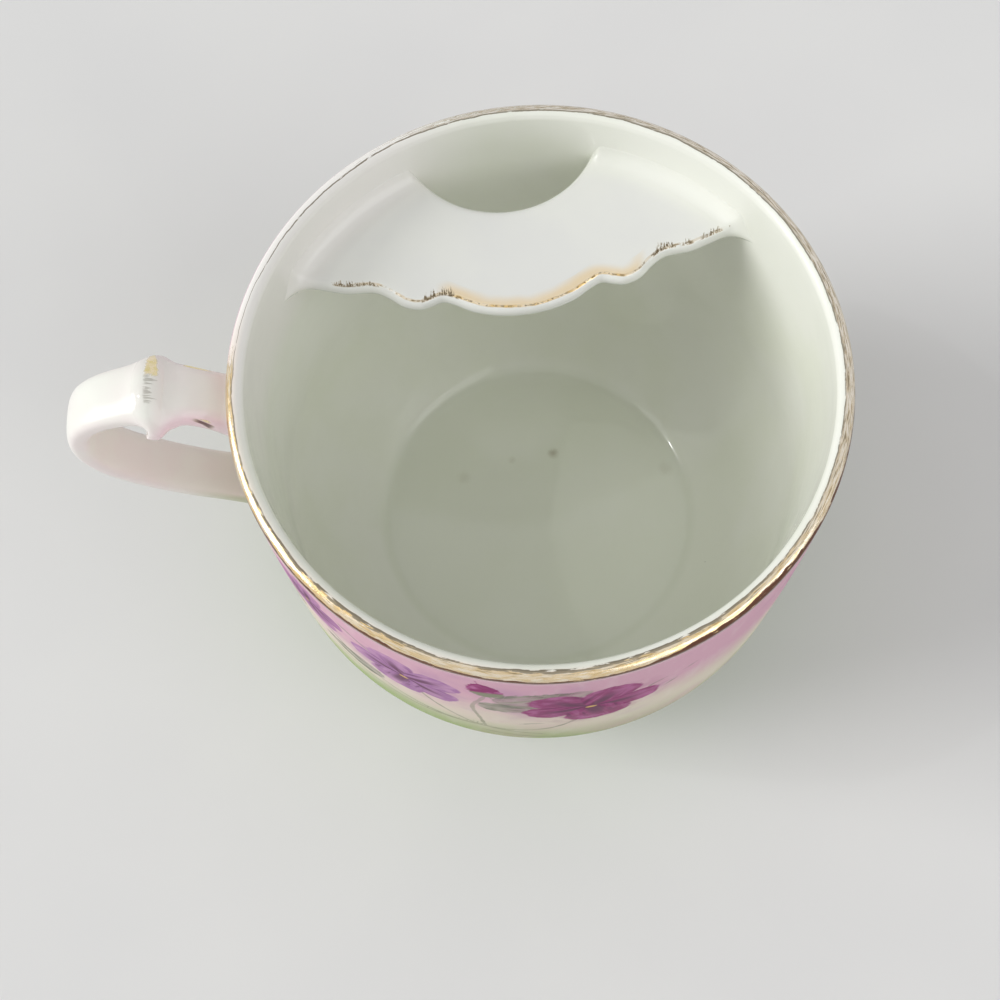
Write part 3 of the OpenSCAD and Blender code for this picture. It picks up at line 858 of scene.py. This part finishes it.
def paint_leaf(shader, colour, layer, offset):
    """A heart-shaped leaf with a pale midrib and slanting side veins."""
    x, y, reach = shader.split(shader.attribute(layer, "Vector"))
    shade = shader.attribute(layer + "_shade")
    near = shader.step(reach, 0.80, 0.72)
    t = shader.math("ADD", y, 0.5)
    inside_ends = times(shader, shader.step(t, -0.04, 0.02), shader.step(t, 1.03, 0.98))
    held = shader.node("ShaderNodeClamp", {"Value": t, "Min": 0.0, "Max": 1.0}).outputs[0]
    base = shader.math("POWER", shader.math("ADD", held, 0.01), 0.42)
    tip = shader.math("POWER", shader.math("SUBTRACT", 1.01, held), 0.85)
    half = times(shader, base, tip, 0.62)
    side = shader.math("ABSOLUTE", x)
    wobble = shader.noise(1.1, 2.0, offset=offset)
    gap = shader.math("ADD", shader.math("SUBTRACT", side, half), shader.math("MULTIPLY_ADD", wobble, 0.12, -0.06))
    mask = times(shader, shader.step(gap, 0.015, -0.02), inside_ends, near)
    wash = shader.step(shader.noise(0.35, 3.0, offset=offset + 2), 0.36, 0.64)
    wash = shader.math("MULTIPLY_ADD", shade, 0.35, shader.math("MULTIPLY", wash, 0.6))
    body = shader.mix(wash, LEAF_DARK, LEAF_PALE)
    slant = shader.math("MULTIPLY_ADD", side, -0.9, t)
    ribs = shader.math("ABSOLUTE", shader.math("SINE", shader.math("MULTIPLY", slant, 21.0)))
    ribs = shader.step(ribs, 0.22, 0.05)
    midrib = shader.step(side, 0.035, 0.012)
    lines = shader.math("MAXIMUM", shader.math("MULTIPLY", ribs, 0.45), shader.math("MULTIPLY", midrib, 0.8))
    body = shader.mix(lines, body, LEAF_PALE)
    fan = shader.node("ShaderNodeCombineXYZ", {0: x, 1: y, 2: shade}).outputs[0]
    thin = shader.step(shader.noise(1.0, 3.0, stretch=(9.0, 1.6, 3.0), vector=fan, offset=offset), 0.60, 0.42)
    cover = shader.math("MULTIPLY_ADD", thin, 0.35, 0.55)
    return shader.mix(shader.math("MULTIPLY", mask, cover), colour, body)


def paint_bud(shader, colour):
    """Closed buds: a purple drop with a green cup at its foot."""
    x, y, reach = shader.split(shader.attribute("bud", "Vector"))
    shade = shader.attribute("bud_shade")
    near = shader.step(reach, 0.80, 0.72)
    side = shader.math("ABSOLUTE", x)
    t = shader.node("ShaderNodeClamp", {"Value": shader.math("ADD", y, 0.5)}).outputs[0]
    half = times(shader, shader.math("POWER", t, 0.5), shader.math("POWER", shader.math("SUBTRACT", 1.0, t), 0.6), 0.72)
    wobble = shader.math("MULTIPLY_ADD", shader.noise(1.3, 2.0, offset=31.0), 0.16, -0.08)
    gap = shader.math("ADD", shader.math("SUBTRACT", side, half), wobble)
    mask = times(shader, shader.step(gap, 0.03, -0.04), near)
    tip = shader.step(t, 0.25, 0.42)
    flower = shader.mix(shader.step(shader.noise(0.5, 2.0, offset=33.0), 0.50, 0.75), MAGENTA, ROSE_PETAL)
    flower = shader.mix(shader.math("MULTIPLY", shade, 0.5), flower, LILAC)
    return shader.mix(mask, colour, shader.mix(tip, STEM_GREEN, flower))


def paint_stems(shader, colour):
    across = shader.math("ABSOLUTE", shader.attribute("stem_across"))
    reach = shader.attribute("stem_reach")
    wobble = shader.math("MULTIPLY_ADD", shader.noise(0.5, 2.0, offset=41.0), 0.5, -0.25)
    width = shader.math("ADD", across, wobble)
    mask = times(shader, shader.step(width, 0.42, 0.22), shader.step(reach, 1.2, 0.9))
    faint = shader.math("MULTIPLY_ADD", shader.noise(0.2, 2.0, offset=43.0), 0.9, 0.1)
    return shader.mix(times(shader, mask, faint), colour, STEM_GREEN)


def painted_ground(shader):
    """The outside: lilac pink under the rim, cream below it and green towards the foot."""
    x, _, height = shader.split(shader.place)
    drift = shader.math("MULTIPLY_ADD", shader.noise(0.028, 2.0, offset=51.0), 18.0 * MM, -9.0 * MM)
    level = shader.math("ADD", height, shader.math("MULTIPLY_ADD", x, 0.09, drift))
    low = shader.mix(shader.step(level, 23 * MM, 41 * MM), GREEN_GROUND, CREAM_GROUND)
    ground = shader.mix(shader.step(level, 40 * MM, 58 * MM), low, PINK_GROUND)
    blush = times(shader, shader.step(shader.noise(0.05, 3.0, offset=53.0), 0.5, 0.7), 0.35)
    ground = shader.mix(blush, ground, PINK_GROUND)
    violet = times(shader, shader.step(shader.noise(0.07, 3.0, offset=57.0), 0.54, 0.74), shader.step(height, 30 * MM, 48 * MM), 0.30)
    ground = shader.mix(violet, ground, LILAC)
    # A pale patch round the handle's upper root: painted light that brightens the shaded corner by the handle.
    root = Vector(STRAP_ROOT) * MM
    away = shader.node("ShaderNodeVectorMath", {0: shader.place, 1: root}, operation="DISTANCE").outputs["Value"]
    ground = shader.mix(times(shader, shader.step(away, 13 * MM, 7 * MM), 0.75), ground, BLUSH)
    foot = shader.step(height, 3.0 * MM, 6.5 * MM)
    brushed = shader.noise(0.4, 3.0, stretch=(1, 1, 0.3), offset=55.0)
    ground = shader.mix(times(shader, shader.step(brushed, 0.50, 0.80), 0.14), ground, WHITE_GLAZE)
    return shader.mix(foot, WHITE_GLAZE, ground)


def painted_glaze():
    """The outside, whose fired paint is a little matter than bare glaze."""
    shader = Shader("painted_glaze")
    colour = paint_stems(shader, painted_ground(shader))
    colour = paint_leaf(shader, colour, "leaf_behind", 61.0)
    colour = paint_leaf(shader, colour, "leaf_before", 67.0)
    colour = paint_bud(shader, colour)
    colour = paint_flower(shader, colour, "flower_behind", 71.0)
    colour = paint_flower(shader, colour, "flower_before", 83.0)
    shader.set(Specular_IOR_Level=0.0, Coat_Weight=PAINT_COAT, Coat_Roughness=GLAZE_ROUGHNESS)
    return finish_glaze(shader, colour, PAINT_ROUGHNESS)


def cup_glaze():
    shader = Shader("cup_glaze")
    return finish_glaze(shader, bare_glaze(shader), GLAZE_ROUGHNESS)


def guard_colour(shader):
    cloud = shader.step(shader.noise(0.06, 3.0, offset=91.0), 0.35, 0.70)
    # Painted shade: the guard's top is mostly the darker, cooler copy of the white glaze.
    colour = shader.mix(times(shader, cloud, 0.4), GUARD_SHADE_GLAZE, WHITE_GLAZE)
    x, y, _ = shader.split(shader.place)
    radius = shader.math("SQRT", shader.math("MULTIPLY_ADD", x, x, shader.math("MULTIPLY", y, y)))
    # Near the wall the guard takes the wall's glaze, with its painted shade tint, so the join doesn't show.
    by_wall = shader.step(radius, 38 * MM, 43 * MM)
    return pinholes(shader, shader.mix(by_wall, colour, wall_glaze(shader)))


def guard_glaze():
    shader = Shader("guard_glaze")
    return finish_glaze(shader, guard_colour(shader), GLAZE_ROUGHNESS)


def gilded(shader, under, gold, mask, burnt, burnt_colour, shine=0.5):
    """Gold film over a glaze where mask is 1, and burnt brown where burnt is 1."""
    colour = shader.mix(mask, under, gold)
    colour = shader.mix(burnt, colour, burnt_colour)
    metal = times(shader, mask, shader.math("MULTIPLY_ADD", burnt, -0.8, 1.0))
    rough = shader.math("MULTIPLY_ADD", shader.noise(1.2, 3.0, offset=97.0), 0.22, 0.11)
    rough = shader.math("MULTIPLY_ADD", mask, shader.math("SUBTRACT", rough, GLAZE_ROUGHNESS), GLAZE_ROUGHNESS)
    shader.bump(shader.noise(2.2, 3.0, offset=99.0), 0.05, 0.35)
    shader.set(Base_Color=colour, Metallic=metal, Roughness=rough, IOR=1.52, Specular_IOR_Level=shine)
    return shader.material


# Burnt patches on the guard's edge: where they start and stop along it, and how far they reach back
BURNT_PATCHES = [
    (-31.5, -24.5, 1.0), (-16.6, -11.0, 1.6), (23.2, 26.8, 1.7), (28.2, 29.8, 1.3), (31.2, 35.0, 1.0),
]


def guard_gold():
    """A thin gold line along the edge, a haze behind it and burnt feathers where lobes meet."""
    shader = Shader("guard_gold")
    inward = shader.attribute("inward")
    along = shader.attribute("along")
    wander = shader.math("MULTIPLY_ADD", shader.noise(0.30, 3.0, offset=101.0), 0.5, -0.25)
    away = shader.math("ABSOLUTE", shader.math("SUBTRACT", shader.math("ADD", inward, wander), 0.85))
    broken = shader.step(shader.noise(0.5, 3.0, offset=103.0), 0.33, 0.45)
    middle = times(shader, shader.step(along, -17.0, -13.0), shader.step(along, 20.0, 16.0))
    outer_parts = times(shader, shader.step(along, -30.0, -27.0), shader.step(along, 36.0, 31.0), 0.45)
    kept = shader.math("MAXIMUM", middle, times(shader, outer_parts, broken))
    line = times(shader, shader.step(away, 0.26, 0.10), kept)

    haze_width = shader.math("MULTIPLY_ADD", shader.noise(0.10, 2.0, offset=105.0), 3.0, 1.2)
    haze_depth = shader.math("SUBTRACT", inward, haze_width)
    haze = times(shader, shader.step(inward, 0.6, 0.9), shader.step(haze_depth, 0.4, -1.6), 0.78)
    haze = times(shader, haze, shader.step(along, -15.0, -11.5), shader.step(along, 22.0, 18.5))
    under = shader.mix(haze, guard_colour(shader), HAZE)

    lie = shader.node("ShaderNodeCombineXYZ", {0: along, 1: inward}).outputs[0]
    hair = shader.noise(1.0, 3.0, 0.7, stretch=(3.4, 0.3, 1.0), vector=lie, offset=107.0)
    speckle = shader.noise(2.6, 3.0, 0.7, offset=109.0)
    reach = 0.0
    for start, stop, depth in BURNT_PATCHES:
        begins = shader.step(along, start - 0.8, start + 1.0)
        ends = shader.step(along, stop + 0.8, stop - 1.0)
        reach = shader.math("MAXIMUM", reach, times(shader, begins, ends, depth))
    tip = shader.math("MULTIPLY_ADD", reach, shader.step(hair, 0.34, 0.66), 0.5)
    burnt = times(shader, shader.step(inward, 0.45, 0.65), shader.step(reach, 0.1, 0.5))
    burnt = times(shader, burnt, shader.step(shader.math("SUBTRACT", inward, tip), 0.2, -0.3))
    burnt = times(shader, burnt, shader.step(speckle, 0.36, 0.52))
    grey_line = times(shader, shader.step(away, 0.16, 0.04), shader.step(shader.noise(1.6, 3.0, 0.7, offset=109.0), 0.48, 0.56), 0.8)
    grey_line = times(shader, grey_line, shader.step(along, -32.5, -31.0), shader.step(along, 37.0, 35.0))
    dark = shader.math("MAXIMUM", burnt, grey_line)
    gold = shader.mix(shader.step(shader.noise(0.4, 2.0, offset=111.0), 0.4, 0.6), GOLD, PALE_GOLD)
    return gilded(shader, under, gold, shader.math("MAXIMUM", line, dark), dark, BURNT_GOLD)


def brushed(shader, across, fine, offset):
    """Noise drawn out along the rim, as a brush leaves it."""
    x, y, _ = shader.split(shader.place)
    far = shader.math("MULTIPLY", across, fine)
    parts = {0: shader.math("MULTIPLY", x, 420.0), 1: shader.math("MULTIPLY", y, 420.0), 2: far}
    place = shader.node("ShaderNodeCombineXYZ", parts).outputs[0]
    return shader.noise(1.0, 4.0, 0.6, vector=place, offset=offset)


def rim_gold():
    """The lip's gold, outlined in brown outside, with broken olive strokes along its inner edge."""
    shader = Shader("rim_gold")
    across = shader.attribute("across")
    gold_left, warmth, gold_edge = shader.split(shader.attribute("gilt", "Vector"))
    outline, inner_line, _ = shader.split(shader.attribute("lines", "Vector"))
    wobble = shader.math("MULTIPLY_ADD", shader.noise(0.22, 4.0, 0.6, offset=121.0), 0.6, -0.30)
    place = shader.math("ADD", across, wobble)
    streaks = brushed(shader, across, 2.6, 123.0)
    fine_streaks = brushed(shader, across, 6.0, 125.0)

    uneven = shader.math("MULTIPLY_ADD", shader.noise(0.11, 3.0, 0.6, offset=127.0), 1.1, -0.55)
    uneven = shader.math("ADD", uneven, shader.math("MULTIPLY_ADD", streaks, 0.8, -0.4))
    past_outline = shader.math("SUBTRACT", place, shader.math("ADD", outline, uneven))
    outer_line = times(shader, shader.step(place, -0.40, -0.28), shader.step(past_outline, 0.05, -0.08))
    outer_line = times(shader, outer_line, shader.step(streaks, 0.30, 0.40))

    from_edge = shader.math("SUBTRACT", place, gold_edge)
    off_line = shader.math("SUBTRACT", shader.math("ABSOLUTE", from_edge), inner_line)
    share = shader.math("MULTIPLY_ADD", inner_line, 0.30, 0.36)
    painted = shader.step(shader.math("SUBTRACT", streaks, share), -0.03, 0.03)
    inner_stroke = times(shader, shader.step(off_line, 0.05, -0.03), painted, 0.85)

    covered = times(shader, shader.step(place, -0.32, -0.22), shader.step(from_edge, 0.10, -0.05))
    rubbed = shader.math("SUBTRACT", shader.math("MULTIPLY_ADD", gold_left, 0.75, 0.08), fine_streaks)
    covered = times(shader, covered, shader.step(rubbed, -0.04, 0.06))

    gold = shader.mix(shader.step(streaks, 0.40, 0.60), GOLD, PALE_GOLD)
    rubs = shader.math("MULTIPLY_ADD", gold_left, 0.10, 0.40)
    faded = shader.mix(shader.step(shader.math("SUBTRACT", fine_streaks, rubs), 0.06, -0.06), FADED_GOLD, RUBBED_GOLD)
    gold = shader.mix(warmth, faded, gold)
    dull = shader.math("MULTIPLY_ADD", shader.step(warmth, 0.55, 0.25), 0.8, shader.step(from_edge, -1.3, -0.2))
    smudges = times(shader, shader.step(fine_streaks, 0.55, 0.63), shader.node("ShaderNodeClamp", {"Value": dull}).outputs[0], 0.6)
    gold = shader.mix(smudges, gold, OLIVE)
    blush = times(shader, shader.step(across, 2.9, 1.8), shader.step(across, 0.6, 1.2), shader.step(warmth, 0.1, 0.5), 0.6)
    under = shader.mix(shader.step(across, 0.6, 1.2), painted_ground(shader), bare_glaze(shader))
    under = shader.mix(blush, under, BLUSH)
    under = shader.mix(inner_stroke, under, OLIVE)
    bare = times(shader, shader.math("MAXIMUM", covered, outer_line), shader.math("SUBTRACT", 1.0, inner_stroke))
    return gilded(shader, under, gold, bare, outer_line, OUTLINE, FILM_SHINE)


def strap_colour(shader):
    """Nearly white, with pink along the near edge, amber at the body and green at the lower end."""
    row, across, up = shader.split(shader.attribute("strap", "Vector"))
    edge = shader.step(shader.math("ABSOLUTE", across), 0.60, 1.0)
    cloud = shader.step(shader.noise(0.12, 3.0, offset=131.0), 0.35, 0.7)
    pink = shader.math("MULTIPLY_ADD", edge, 0.22, shader.math("MULTIPLY", cloud, 0.22))
    # Pink between the body and the crest, on the side that faces away from the key light: partly pink ground, partly
    # painted shade.
    pink_and_painted_shade = times(shader, shader.step(row, 6.0, 5.4), shader.step(row, 2.0, 3.2), 0.18)
    near_edge = times(shader, shader.step(across, -0.30, -0.95), shader.step(row, 5.6, 4.6), 0.55)
    lower_part = times(shader, shader.step(row, 9.0, 11.0), 0.12)
    pink = shader.math("ADD", pink, shader.math("ADD", pink_and_painted_shade, shader.math("ADD", near_edge, lower_part)))
    colour = shader.mix(pink, WHITE_GLAZE, STRAP_PINK)
    amber = times(shader, shader.step(row, 2.4, 1.5), shader.step(up, 0.0, 0.4), shader.step(across, -0.9, -0.2), 0.35)
    colour = shader.mix(amber, colour, AMBER)
    lower_end = times(shader, shader.step(row, 13.6, 16.4), 0.40)
    colour = shader.mix(lower_end, colour, CREAM_GROUND)
    green_edge = times(shader, shader.step(row, 13.4, 15.8), shader.step(across, -0.74, -1.0), 0.55)
    colour = shader.mix(green_edge, colour, GREEN_GROUND)
    return row, across, up, pinholes(shader, colour)


def strap_glaze():
    shader = Shader("strap_glaze")
    return finish_glaze(shader, strap_colour(shader)[3], STRAP_ROUGHNESS)


def strap_gold():
    """A worn gold band over the thumb rest and strokes of gold on the strap's edges."""
    shader = Shader("strap_gold")
    row, across, up, under = strap_colour(shader)
    rub = shader.noise(0.7, 4.0, 0.65, offset=141.0)
    fine = shader.noise(1.7, 3.0, 0.6, offset=143.0)
    place = shader.math("MULTIPLY_ADD", fine, 0.20, shader.math("SUBTRACT", row, 0.10))
    side = shader.math("MULTIPLY_ADD", rub, 0.20, shader.math("SUBTRACT", across, 0.10))
    band = times(shader, shader.step(place, 5.52, 5.62), shader.step(place, 6.02, 5.92))
    upper = times(shader, band, shader.step(side, 0.10, 0.16), shader.step(rub, 0.22, 0.30))

    comb = shader.node("ShaderNodeCombineXYZ", {0: row, 1: across, 2: up}).outputs[0]
    strokes = shader.noise(1.0, 2.0, stretch=(0.5, 30.0, 1.0), vector=comb, offset=145.0)
    denser = shader.math("MULTIPLY_ADD", shader.step(place, 5.62, 5.96), 0.24, strokes)
    below_gold = times(shader, shader.step(side, 0.16, 0.10), shader.step(side, -0.34, -0.26))
    flecks = times(shader, band, below_gold, shader.step(denser, 0.60, 0.72), 0.40)
    under = shader.mix(flecks, under, OLIVE)

    far_edge = times(shader, shader.step(row, 2.3, 2.6), shader.step(row, 3.5, 3.2), shader.step(across, 0.74, 0.82))
    far_stroke = times(shader, far_edge, shader.step(up, 0.0, 0.2), shader.step(rub, 0.30, 0.42))

    lie = shader.math("MULTIPLY_ADD", row, -0.6, shader.math("ADD", up, 1.29))
    near_edge = times(shader, shader.step(across, -0.84, -0.90), shader.step(row, 2.05, 2.3), shader.step(row, 3.0, 2.6))
    off_stroke = shader.math("ABSOLUTE", lie)
    dark_stroke = times(shader, near_edge, shader.step(off_stroke, 0.16, 0.08), 0.9)
    off_glint = shader.math("ABSOLUTE", shader.math("SUBTRACT", lie, 0.24))
    glint = times(shader, near_edge, shader.step(off_glint, 0.10, 0.04), shader.step(row, 2.25, 2.45))

    gold = shader.mix(shader.step(rub, 0.35, 0.65), PALE_GOLD, YELLOW_GOLD)
    mask = shader.math("MAXIMUM", shader.math("MAXIMUM", upper, far_stroke), glint)
    return gilded(shader, under, gold, shader.math("MAXIMUM", mask, dark_stroke), dark_stroke, STROKE)


def make_camera():
    """The camera that took the photo, in the part's frame."""
    pitch, yaw, roll = (math.radians(a) for a in (CAMERA_PITCH, CAMERA_YAW, CAMERA_ROLL))
    right = Vector((1, 0, 0))
    ahead = Vector((0, math.cos(pitch), -math.sin(pitch)))
    up = right.cross(ahead)
    ahead, right = math.cos(yaw) * ahead + math.sin(yaw) * right, math.cos(yaw) * right - math.sin(yaw) * ahead
    right, up = math.cos(roll) * right + math.sin(roll) * up, math.cos(roll) * up - math.sin(roll) * right
    basis = Matrix((right, up, -ahead)).transposed()
    facing = Matrix.Rotation(math.radians(CAMERA_TURN), 3, "Z") @ basis
    data = bpy.data.cameras.new("camera")
    data.sensor_width = SENSOR
    data.lens = FOCAL_SHARE * SENSOR
    data.clip_start = 10 * MM
    camera = bpy.data.objects.new("camera", data)
    camera.matrix_world = Matrix.Translation(Vector(CAMERA_PLACE) * MM) @ facing.to_4x4()
    bpy.context.scene.collection.objects.link(camera)
    bpy.context.scene.camera = camera


# Where the light comes from, in millimetres
KEY = (-1880, -60, 850)
FILL = (1500, -1260, 1300)
TOP = (-1280, 0, 1590)
WORLD = 0.52
BACKDROP = 0.74
SPARK = (-600, 38, 858)


def make_lamp(name, kind, place, power, width):
    """A lamp that faces the cup's mouth; a sun's width is an angle and a disk's is a length."""
    data = bpy.data.lights.new(name, kind)
    data.energy = power
    if kind == "SUN":
        data.angle = width
    else:
        data.shape = "DISK"
        data.size = width
    lamp = bpy.data.objects.new(name, data)
    lamp.location = Vector(place) * MM
    aim = Vector((0, 0, CUP_H * 0.8)) * MM - lamp.location
    lamp.rotation_euler = aim.to_track_quat("-Z", "Y").to_euler()
    bpy.context.scene.collection.objects.link(lamp)


def world_math(world, operation, *values):
    node = world.node_tree.nodes.new("ShaderNodeMath")
    node.operation = operation
    for socket, value in zip(node.inputs, values):
        if isinstance(value, bpy.types.NodeSocket):
            world.node_tree.links.new(value, socket)
        else:
            socket.default_value = value
    return node.outputs[0]


def make_stage():
    """A pale floor, soft lamps and an even world."""
    mesh = bpy.data.meshes.new("floor")
    half = 3000 * MM
    mesh.from_pydata([(-half, -half, 0), (half, -half, 0), (half, half, 0), (-half, half, 0)], [], [(0, 1, 2, 3)])
    floor = bpy.data.objects.new("floor", mesh)
    bpy.context.scene.collection.objects.link(floor)
    shader = Shader("floor")
    grain = shader.step(shader.noise(0.02, 2.0), 0.3, 0.7)
    shader.set(Base_Color=shader.mix(grain, (0.75, 0.75, 0.75), (0.77, 0.77, 0.765)), Roughness=0.9)
    mesh.materials.append(shader.material)

    make_lamp("key", "SUN", KEY, 1.85, math.radians(30))
    make_lamp("fill", "SUN", FILL, 0.66, math.radians(50))
    make_lamp("top", "SUN", TOP, 0.18, math.radians(30))
    make_lamp("spark", "AREA", SPARK, 0.30, 12 * MM)
    world = bpy.data.worlds.new("world")
    world.use_nodes = True
    background = world.node_tree.nodes["Background"]
    background.inputs["Color"].default_value = (1.0, 1.0, 0.99, 1)
    rays = world.node_tree.nodes.new("ShaderNodeLightPath").outputs
    seen = rays["Is Camera Ray"]
    for ray in ("Is Glossy Ray", "Is Transmission Ray"):
        seen = world_math(world, "MAXIMUM", seen, rays[ray])
    strength = world_math(world, "MULTIPLY_ADD", seen, BACKDROP - WORLD, WORLD)
    world.node_tree.links.new(strength, background.inputs["Strength"])
    bpy.context.scene.world = world
    bpy.context.scene.view_settings.view_transform = "Standard"


make_camera()
make_stage()
make_cup()
make_guard()
make_handle()
make_rim_gold()
